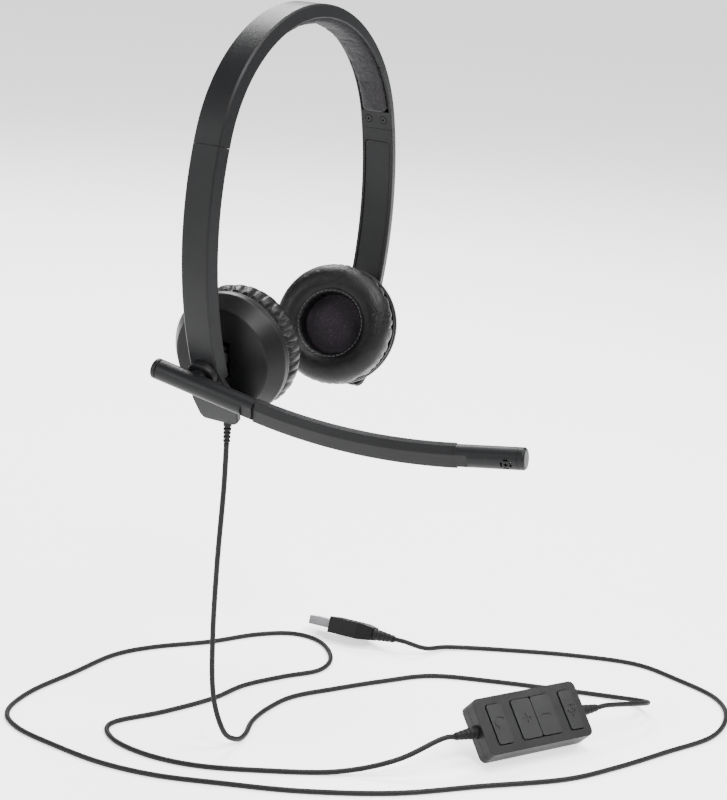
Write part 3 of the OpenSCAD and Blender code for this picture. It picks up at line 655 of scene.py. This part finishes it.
class HEADSET_OT_cord_ends(bpy.types.Operator):
    """Measures each cord's length and lists the pieces at its ends; none of it is kept"""
    bl_idname = "headset.cord_ends"
    bl_label = "Cord ends"

    def execute(self, context):
        controller = [n for n in NODES if n.startswith("controller_") or n.endswith("_key")]
        controller.remove("controller_left_relief")
        plug = ["controller_left_relief"] + [n for n in NODES if n.startswith("plug_")]
        carried = (["tab_relief", "key_switches"] + controller, plug)
        for (name, route, node), ends, far_end in zip(CORDS, carried, ("connector", "plug")):
            line = cord_line(route)
            length = sum((b - a).length for a, b in zip(line, line[1:]))
            tuple(c * MM for c in route[0])
            [n + "_moulded" if n in SOFT_EDGES else n for n in ends]
        return {"FINISHED"}


# ------------------------------------------------------------------------- padded and sewn
OUTER_PROFILE = [(18.0, 0.3), (24.5, 0.2), (26.6, 0.7), (27.5, 2.6), (28.0, 6.0), (27.2, 9.6), (24.9, 12.4),
                 (21.3, 13.7), (17.8, 13.2), (15.0, 11.2), (13.9, 8.4), (13.7, 5.4), (14.2, 3.3), (16.0, 2.9)]
AROUND = 408
SEAM_R, SEAM_H, STITCH_R, STITCH_L = 15.55, 12.0, 0.17, 1.45


def cushion_skin(side, sizes):
    """A ring-shaped cushion: gathered into the cup's groove, crowned, and sewn at the ear opening."""
    place = cup_place(side)
    profile = through(OUTER_PROFILE, 3, closed=True)
    obj = ring_mesh(side + "_ear_cushion", spun([(p.x, CUSHION_Z + p.y) for p in profile], AROUND), place)
    outward(obj)
    pinned = [p.y < 1.6 or (p.x < 15.4 and p.y < 5.6) for p in profile for i in range(AROUND)]
    swell(obj, pinned, sizes.puff, 5.0, 0.009)
    gather(obj, side, place, profile, sizes)
    return obj


def gather(obj, side, place, profile, sizes):
    """Folds the gathers into the outer wall and sinks the seam round the ear opening."""
    seed, fullness, reach = (3.7, 1.25, 7.5) if side == "near" else (11.9, 0.75, 4.2)
    turn = place.to_3x3()
    for j, p in enumerate(profile):
        outer = max(0.0, min(1.0, (p.x - 19.0) / 5.0))
        low = max(0.0, 1.0 - max(0.0, p.y - 4.0) / reach) ** 1.1 * min(1.0, 0.35 + p.y / 3.0)
        seam = math.exp(-((p.y - 11.9) / 0.55) ** 2) if p.x < 17.5 else 0.0
        inner = math.exp(-((p.y - 8.5) / 4.0) ** 2) if p.x < 16.5 else 0.0
        for i in range(AROUND):
            a = 2 * math.pi * i / AROUND
            drift = noise.noise(Vector((math.cos(a) * 2.2 + seed, math.sin(a) * 2.2, p.y * 0.05)))
            wave = 0.5 + 0.5 * math.cos(sizes.pleat_count * a + 6.5 * drift + 0.16 * p.y)
            fold = wave ** 3.2 - 0.22
            vary = 0.75 + 0.7 * noise.noise(Vector((math.cos(a) * 6 + seed, math.sin(a) * 6, 2.0)))
            soft = noise.noise(Vector((math.cos(a) * 3.1, math.sin(a) * 3.1, p.y * 0.25 + seed)))
            small = noise.noise(Vector((math.cos(a) * 11, math.sin(a) * 11, p.y * 0.5 + seed)))
            depth = -sizes.pleat_depth * fullness * fold * vary * outer * low
            depth += 0.00022 * soft + 0.00007 * small
            depth -= 0.0005 * seam + 0.00012 * inner * max(0.0, math.sin(26 * a + 3 * drift))
            out = Vector((math.cos(a), math.sin(a), 0.15 if p.y > 8 else 0.0))
            if p.x < 18.5:
                out = Vector((-math.cos(a), -math.sin(a), 0.5))
            if p.y > 12.5:
                out = Vector((0, 0, 1))
            if p.y >= 0.6:
                vertex = obj.data.vertices[j * AROUND + i]
                vertex.co = vertex.co + (turn @ out.normalized()) * depth


def stitch_ring(side, sizes):
    """Short slanted stitches along the seam round the ear opening."""
    place = cup_place(side)
    parts_v, parts_f = [], []
    count, sides, steps = sizes.stitch_count, 6, 4
    for k in range(count):
        a = 2 * math.pi * k / count
        centre = Vector((SEAM_R * math.cos(a), SEAM_R * math.sin(a), CUSHION_Z + SEAM_H))
        along = Vector((-math.sin(a), math.cos(a), 0.0))
        rise = Vector((math.cos(a) * -0.62, math.sin(a) * -0.62, -0.78))
        lift = Vector((math.cos(a) * -0.6, math.sin(a) * -0.6, 0.8))
        run = (along + rise * 0.25).normalized()
        side_dir = run.cross(lift).normalized()
        base = len(parts_v)
        for j in range(steps + 1):
            t = j / steps
            swell_r = STITCH_R * math.sin(math.pi * (0.12 + 0.76 * t)) ** 0.5
            mid = centre + run * (t - 0.5) * STITCH_L + lift * (0.16 * math.sin(math.pi * t) - 0.06)
            for i in range(sides):
                b = 2 * math.pi * i / sides
                rim = (lift * math.sin(b) + side_dir * math.cos(b)) * swell_r
                parts_v.append((place @ (mid + rim)) * MM)
        for j in range(steps):
            for i in range(sides):
                n = (i + 1) % sides
                parts_f.append((base + j * sides + i, base + j * sides + n,
                                base + (j + 1) * sides + n, base + (j + 1) * sides + i))
        parts_f.append(tuple(base + i for i in range(sides)))
        parts_f.append(tuple(base + steps * sides + i for i in reversed(range(sides))))
    obj = mesh_piece(side + "_cushion_stitches", parts_v, parts_f)
    outward(obj)
    smooth(obj, 60)
    return obj


class HEADSET_OT_cushions(bpy.types.Operator):
    """Leatherette ear cushions with gathers and a sewn ear opening"""
    bl_idname = "headset.cushions"
    bl_label = "Ear cushions"

    def execute(self, context):
        sizes = context.scene.headset_sizes
        for side in CUPS:
            skin = cushion_skin(side, sizes)
            refine(skin)
            settle(skin, side + "_cup", "leatherette", side + "_cushion")
            settle(stitch_ring(side, sizes), side + "_cup", "leatherette", material=finish("thread"))
        return {"FINISHED"}


class HEADSET_OT_speaker_cloths(bpy.types.Operator):
    """Thin cloth stretched over each speaker"""
    bl_idname = "headset.speaker_cloths"
    bl_label = "Speaker cloths"

    def execute(self, context):
        radius = EAR_R + 3.0
        for side in CUPS:
            place = cup_place(side)
            rings, around = 14, 72
            heights = [(radius * j / rings, CLOTH_Z + 0.1 + 0.55 * (1 - (radius * j / rings / radius) ** 2))
                       for j in range(1, rings + 1)]
            rows = [[(x, y, z + 0.09 * noise.noise(Vector((x * 0.16, y * 0.16, 4.0)))) for x, y, z in row]
                    for row in spun(heights, around)]
            obj = ring_mesh(side + "_woven_cloth", rows, place, closed_profile=False)
            pick(obj)
            bpy.ops.object.mode_set(mode="EDIT")
            bpy.ops.mesh.select_all(action="DESELECT")
            bpy.ops.object.mode_set(mode="OBJECT")
            for i in range(around):
                obj.data.vertices[i].select = True
            bpy.ops.object.mode_set(mode="EDIT")
            bpy.ops.mesh.select_mode(type="VERT")
            bpy.ops.mesh.edge_face_add()
            bpy.ops.object.mode_set(mode="OBJECT")
            outward(obj)
            wall = obj.modifiers.new("Cloth", "SOLIDIFY")
            wall.thickness = 0.0003
            wall.offset = 0
            apply_modifiers(obj)
            smooth(obj, 60)
            cloth = open_mesh_cloth(side.title() + " speaker cloth",
                                    tuple(context.scene.headset_colours.speaker_cloth), cushion_turn(side))
            settle(obj, side + "_cup", "speaker_cloth", side + "_speaker_cloth", material=cloth)
        return {"FINISHED"}


class HEADSET_OT_band_pad(bpy.types.Operator):
    """Foam pad under the headband in a brushed knit cover"""
    bl_idname = "headset.band_pad"
    bl_label = "Band pad"

    def execute(self, context):
        sizes = context.scene.headset_sizes
        low = TOP_R - BAND_T - PAD_DROP
        half = PAD_W / 2
        section = through([(TOP_R - 4.35, -half + 0.6), (TOP_R - 5.4, -half), (low + 1.3, -half + 0.35),
                           (low + 0.35, -half + 2.2), (low, -half + 4.6), (low - 0.1, 0.0), (low, half - 4.6),
                           (low + 0.35, half - 2.2), (low + 1.3, half - 0.35), (TOP_R - 5.4, half),
                           (TOP_R - 4.35, half - 0.6), (TOP_R - 4.3, 0.0)], 3, closed=True)
        along = 150
        verts, faces, count = [], [], len(section)
        centre_r = low + 1.9
        for i in range(along + 1):
            share = i / along
            end = min(share, 1 - share) * 2 * PAD_HALF
            close = math.sqrt(max(0.0, 1 - max(0.0, 1 - end / 2.2) ** 2)) if end < 2.2 else 1.0
            close = max(close, 0.12)
            angle = math.radians(-PAD_HALF + 2 * PAD_HALF * share)
            for p in section:
                r = centre_r + (p.x - centre_r) * close
                y = p.y * (0.75 + 0.25 * close)
                rough = 0.00016 * noise.noise(Vector((angle * 40, y * 0.9, 1.0)))
                verts.append(Vector((r * math.sin(angle), y, TOP_Z - TOP_R + r * math.cos(angle))) * MM
                             + Vector((math.sin(angle), 0, math.cos(angle))) * rough)
        for i in range(along):
            for j in range(count):
                n = (j + 1) % count
                faces.append((i * count + j, i * count + n, (i + 1) * count + n, (i + 1) * count + j))
        faces.append(tuple(range(count)))
        faces.append(tuple(along * count + j for j in reversed(range(count))))
        obj = mesh_piece("band_foam_pad", verts, faces)
        outward(obj)
        pinned = [p.x > TOP_R - 5.6 or i in (0, along) for i in range(along + 1) for p in section]
        swell(obj, pinned, 0.0006, 3.0, 0.01)
        refine(obj)
        settle(obj, "headband", "foam_cloth", "band_pad")
        return {"FINISHED"}


# ------------------------------------------------------------------------- band and arms
JOINT_ANGLE, SLIDER_END, ARM_END, THIN_T = 76.8, 101.8, 113.0, 3.0
PANEL_START, PANEL_END, PANEL_HALF, PANEL_GAP = 79.0, 104.0, 6.6, 0.35
PIVOT_ANGLE, BOSS_R, BOSS_H = 112.3, 7.0, 3.0
SCREW_ANGLE, SCREW_Y = 75.2, 4.0
# Tab edges as (distance along the arm from its end, front edge, back edge)
TAB_EDGES = [(-4.0, -8.5, 8.5), (0.0, -8.6, 8.5), (7.0, -12.4, 9.8), (10.5, -13.5, 10.8),
             (13.5, -13.5, 10.8), (22.0, -11.5, 9.4), (23.2, -10.6, 8.6), (24.0, -9.4, 7.4)]
# Where the tab's outline is sampled, along the arm from its end
TAB_STEPS = (0.02, 2, 4, 5.5, 7, 8.5, 9.6, 10.5, 12, 13.5, 14.6, 17, 19.5, 21.2, 22, 22.6, 23.2, 23.7, 24)


def on_band(arc, angle, depth, y):
    """A point under the outer face of the top arc or of the +X side arc."""
    a = math.radians(angle)
    if arc == "top":
        return Vector(((TOP_R - depth) * math.sin(a), y, TOP_Z - TOP_R + (TOP_R - depth) * math.cos(a)))
    return Vector((SIDE_CX + (SIDE_R - depth) * math.sin(a), y, SIDE_CZ + (SIDE_R - depth) * math.cos(a)))


def band_section(depth, front, back, lean, chamfer):
    """Outline across the band: lean is how much wider the inner face is, each side."""
    return [(depth, front + 0.3), (depth - 0.5, front), (chamfer, front + lean - 0.1),
            (0.0, front + lean + chamfer), (0.0, back - lean - chamfer), (chamfer, back - lean + 0.1),
            (depth - 0.5, back), (depth, back - 0.3)]


def box_section(deep, shallow, half):
    return [(deep, -half), (shallow, -half), (shallow, half), (deep, half)]


def skin(name, sections, mirrored=False, start_open=False):
    """Skins outlines set along the arcs and closes the ends, or leaves the first one open."""
    flip = -1 if mirrored else 1
    verts, faces = [], []
    count = len(sections[0][2])
    for arc, angle, outline in sections:
        for depth, y in outline:
            p = on_band(arc, angle, depth, y)
            verts.append(Vector((p.x * flip, p.y, p.z)) * MM)
    for i in range(len(sections) - 1):
        for j in range(count):
            n = (j + 1) % count
            faces.append((i * count + j, i * count + n, (i + 1) * count + n, (i + 1) * count + j))
    if not start_open:
        faces.append(tuple(range(count)))
    faces.append(tuple((len(sections) - 1) * count + j for j in reversed(range(count))))
    obj = mesh_piece(name, verts, faces)
    outward(obj)
    return obj


def cut(obj, *cutters):
    for cutter in cutters:
        tool = obj.modifiers.new("Cut", "BOOLEAN")
        tool.operation = "DIFFERENCE"
        tool.solver = "EXACT"
        tool.object = cutter
        apply_modifiers(obj)
        bpy.data.objects.remove(cutter)


def ease(obj, width, slots=(), segments=3, angle=24):
    """Rounds a clean piece's edges, cuts its inner slots and sets its shading."""
    bevel = obj.modifiers.new("Edges", "BEVEL")
    bevel.width = width * MM
    bevel.segments = segments
    bevel.limit_method = "ANGLE"
    bevel.angle_limit = math.radians(angle)
    apply_modifiers(obj)
    cut(obj, *slots)
    even_shading(obj, 40)


def steps(start, end, size=0.6):
    count = max(2, int(round(abs(end - start) / size)))
    return [start + (end - start) * i / count for i in range(count + 1)]


def rounded_strip(start, end, half, corner, deep, shallow):
    """Sections of a strip whose corners are round, seen square on."""
    ring = []
    marks = [corner * (1 - math.cos(math.radians(k * 15))) for k in range(7)]
    per_degree = SIDE_R * math.pi / 180
    angles = [start + m / per_degree for m in marks]
    angles += steps(start + corner / per_degree, end - corner / per_degree)[1:-1]
    angles += [end - m / per_degree for m in reversed(marks)]
    for a in angles:
        inside = min(a - start, end - a) * per_degree
        pull = corner - math.sqrt(max(0.0, corner ** 2 - max(0.0, corner - inside) ** 2))
        ring.append(("side", a, box_section(deep, shallow, half - pull)))
    return ring


def tab_edge(along, which):
    for (s0, *e0), (s1, *e1) in zip(TAB_EDGES, TAB_EDGES[1:]):
        if along <= s1:
            t = (along - s0) / (s1 - s0)
            return e0[which] + (e1[which] - e0[which]) * t
    return TAB_EDGES[-1][1 + which]


class HEADSET_OT_arms(bpy.types.Operator):
    """The two arms with their inset panels and end tabs"""
    bl_idname = "headset.arms"
    bl_label = "Arms"

    def execute(self, context):
        per_degree = SIDE_R * math.pi / 180
        for side, mirrored in (("near", True), ("far", False)):
            rings = [("side", a, band_section(BAND_T, -8.5, 8.5, 1.5, 0.7))
                     for a in steps(JOINT_ANGLE + 0.05, ARM_END - 1.4)]
            rings += [("side", a, band_section(BAND_T, -8.5, 8.5, 1.5 - 1.4 * t, 0.7))
                      for t, a in ((0.5, ARM_END - 0.7), (1.0, ARM_END))]
            rings += [("side", ARM_END + along / per_degree,
                       band_section(THIN_T, tab_edge(along, 0), tab_edge(along, 1), 0.1, 0.5))
                      for along in TAB_STEPS]
            arm = skin(side + "_arm_body", rings, mirrored)
            cut(arm, skin("cutter", rounded_strip(PANEL_START, PANEL_END, PANEL_HALF + PANEL_GAP, 2.2,
                                                  BAND_T + 1.5, 4.3), mirrored))
            ease(arm, 0.42, [skin("cutter", [("side", a, box_section(4.6, 2.8, 4.8))
                                             for a in steps(JOINT_ANGLE - 1, SLIDER_END)], mirrored)])
            settle(arm, side + "_arm", "arm_plastic", side + "_arm_shell")
            strip = rounded_strip(PANEL_START + 0.12, PANEL_END - 0.12, PANEL_HALF, 1.9, BAND_T - 0.35, 4.4)
            inset = skin(side + "_arm_inset", strip, mirrored)
            ease(inset, 0.3)
            settle(inset, side + "_arm", "arm_plastic", side + "_arm_panel")
        self.boss()
        return {"FINISHED"}

    def boss(self):
        """Raised ring on the near arm that the boom turns against."""
        place = (Matrix.Diagonal((-1, 1, 1, 1))
                 @ Matrix.Translation(on_band("side", PIVOT_ANGLE, 1.0, 0.0))
                 @ Matrix.Rotation(math.radians(PIVOT_ANGLE), 4, "Y"))
        line = [(2.6, -0.5), (BOSS_R, -0.5), (BOSS_R, BOSS_H + 0.55), (BOSS_R - 0.14, BOSS_H + 0.86),
                (BOSS_R - 0.45, BOSS_H + 1.0), (BOSS_R - 2.1, BOSS_H + 1.0), (BOSS_R - 2.3, BOSS_H + 0.6),
                (2.6, BOSS_H + 0.6)]
        ring = ring_mesh("boom_pivot_boss", spun(line, 96), place)
        outward(ring)
        smooth(ring, 35)
        settle(ring, "near_arm", "arm_plastic")


class HEADSET_OT_band(bpy.types.Operator):
    """The headband with its pad recess and the seats of its screws"""
    bl_idname = "headset.band"
    bl_label = "Headband"

    def execute(self, context):
        outline = band_section(BAND_T, -8.5, 8.5, 1.5, 0.7)
        half = ([("top", a, outline) for a in steps(0, TOP_HALF, 1.0)]
                + [("side", a, outline) for a in steps(TOP_HALF, JOINT_ANGLE)[1:]])
        right = skin("band_body", half, start_open=True)
        left = skin("band_left", half, mirrored=True, start_open=True)
        pick(right)
        left.select_set(True)
        bpy.ops.object.join()
        outward(right)
        recess = skin("cutter", [("top", a, box_section(BAND_T + 1, 2.2, 7.5))
                                 for a in steps(-72, 72, 1.0)])
        seats = []
        for sign in (-1, 1):
            for y in (-SCREW_Y, SCREW_Y):
                deselect()
                bpy.ops.mesh.primitive_cylinder_add(vertices=40, radius=1.9 * MM, depth=2.6 * MM)
                seat = context.object
                at = on_band("side", SCREW_ANGLE, BAND_T, y)
                seat.data.transform(Matrix.Translation(Vector((at.x * sign, at.y, at.z)) * MM)
                                    @ Matrix.Rotation(math.radians(SCREW_ANGLE) * sign, 4, "Y"))
                seats.append(seat)
        cut(right, recess, *seats)
        ease(right, 0.4)
        settle(right, "headband", "arm_plastic", "band_shell")
        return {"FINISHED"}


# ---------------------------------------------------------------------------- hard pieces
SOFT_EDGES = {
    "near_tab_cover": 0.25, "far_tab_cover": 0.25,
    "boom_barrel": 0.25, "boom_tail_cap": 0.2, "boom_stem": 0.3, "mic_body": 0.22, "mic_end_cap": 0.25,
    "controller_top": 0.8, "controller_bottom": 0.8,
    "answer_key": 0.18, "volume_up_key": 0.18, "volume_down_key": 0.18, "mute_key": 0.18,
    "plug_body": 0.35, "plug_relief": 0.12, "plug_shell": 0.1,
    "controller_left_relief": 0.12, "controller_right_relief": 0.12, "tab_relief": 0.12,
}


class HEADSET_OT_mouldings(bpy.types.Operator):
    """Rounds the edges of the moulded parts and gives every other part its finish"""
    bl_idname = "headset.mouldings"
    bl_label = "Mouldings"

    def execute(self, context):
        share = context.scene.headset_sizes.edge_softness / 0.00045
        for node, width in SOFT_EDGES.items():
            soften(node, width * MM * share)
        for node, obj in NODES.items():
            if not obj.hide_render:
                paint(obj, finish(SLOT_OF[node]))
        return {"FINISHED"}


SHELL_LINE = [(0.0, 0.0), (12.0, 0.0), (21.6, 0.0), (22.5, 0.06), (23.0, 0.3), (23.35, 0.75), (25.5, 3.75),
              (27.5, 6.5), (27.85, 7.0), (28.0, 7.5), (28.0, 9.2), (27.7, 9.5), (26.4, 9.5), (26.4, 7.5),
              (22.0, 1.6), (10.0, 1.6), (0.0, 1.6)]


class HEADSET_OT_cup_shells(bpy.types.Operator):
    """Ear-cup shells, spun from their outline with the joint's opening cut through"""
    bl_idname = "headset.cup_shells"
    bl_label = "Cup shells"

    def execute(self, context):
        for side in CUPS:
            place = cup_place(side)
            obj = ring_mesh(side + "_cup_dish", spun(SHELL_LINE, 144), place, closed_profile=False)
            outward(obj)
            deselect()
            bpy.ops.mesh.primitive_cube_add(size=1)
            cutter = bpy.context.object
            cutter.data.transform(Matrix.Scale(MM, 4) @ place @ Matrix.Translation((0, 0, 0.8))
                                  @ Matrix.Diagonal((16.4, 8.2, 6, 1)))
            cut(obj, cutter)
            even_shading(obj, 26)
            settle(obj, side + "_cup", "cup_plastic", side + "_cup_shell")
        return {"FINISHED"}


RIBS, RIB_DEPTH = 132, 0.16


class HEADSET_OT_cup_rings(bpy.types.Operator):
    """Fine ribbed ring between each cup and its cushion"""
    bl_idname = "headset.cup_rings"
    bl_label = "Cup rings"

    def execute(self, context):
        for side in CUPS:
            rows = []
            for r, z in ((26.9, 9.75), (27.5, 9.75), (27.72, 10.0), (27.75, 10.6), (27.72, 11.3),
                         (27.5, 11.6), (26.9, 11.6)):
                rib = RIB_DEPTH if r > 27.6 else 0.0
                row = []
                for i in range(RIBS * 4):
                    a = 2 * math.pi * i / (RIBS * 4)
                    reach = r - rib * (0.5 - 0.5 * math.cos(RIBS * a))
                    row.append((reach * math.cos(a), reach * math.sin(a), z))
                rows.append(row)
            obj = ring_mesh(side + "_cup_ring", rows, cup_place(side))
            outward(obj)
            smooth(obj, 50)
            settle(obj, side + "_cup", "cup_plastic")
        return {"FINISHED"}


class HEADSET_PT_panel(bpy.types.Panel):
    bl_label = "Office headset"
    bl_idname = "HEADSET_PT_panel"
    bl_space_type = "VIEW_3D"
    bl_region_type = "UI"
    bl_category = "Headset"

    def draw(self, context):
        column = self.layout.column()
        for group in (context.scene.headset_sizes, context.scene.headset_colours):
            for key in group.__annotations__:
                column.prop(group, key)
        for step in STEPS:
            column.operator(step.bl_idname)


STEPS = (HEADSET_OT_stage, HEADSET_OT_cord, HEADSET_OT_cushions, HEADSET_OT_speaker_cloths,
         HEADSET_OT_band_pad, HEADSET_OT_band, HEADSET_OT_arms, HEADSET_OT_cup_shells, HEADSET_OT_cup_rings,
         HEADSET_OT_mouldings, HEADSET_OT_cord_ends)
CLASSES = (HeadsetSizes, HeadsetColours, *STEPS, HEADSET_PT_panel)


def register():
    for cls in CLASSES:
        bpy.utils.register_class(cls)
    bpy.types.Scene.headset_sizes = PointerProperty(type=HeadsetSizes)
    bpy.types.Scene.headset_colours = PointerProperty(type=HeadsetColours)


def unregister():
    del bpy.types.Scene.headset_colours
    del bpy.types.Scene.headset_sizes
    for cls in reversed(CLASSES):
        bpy.utils.unregister_class(cls)


def main():
    register()
    for step in STEPS:
        group, name = step.bl_idname.split(".")
        getattr(getattr(bpy.ops, group), name)()
    deselect()


if __name__ == "__main__":
    main()
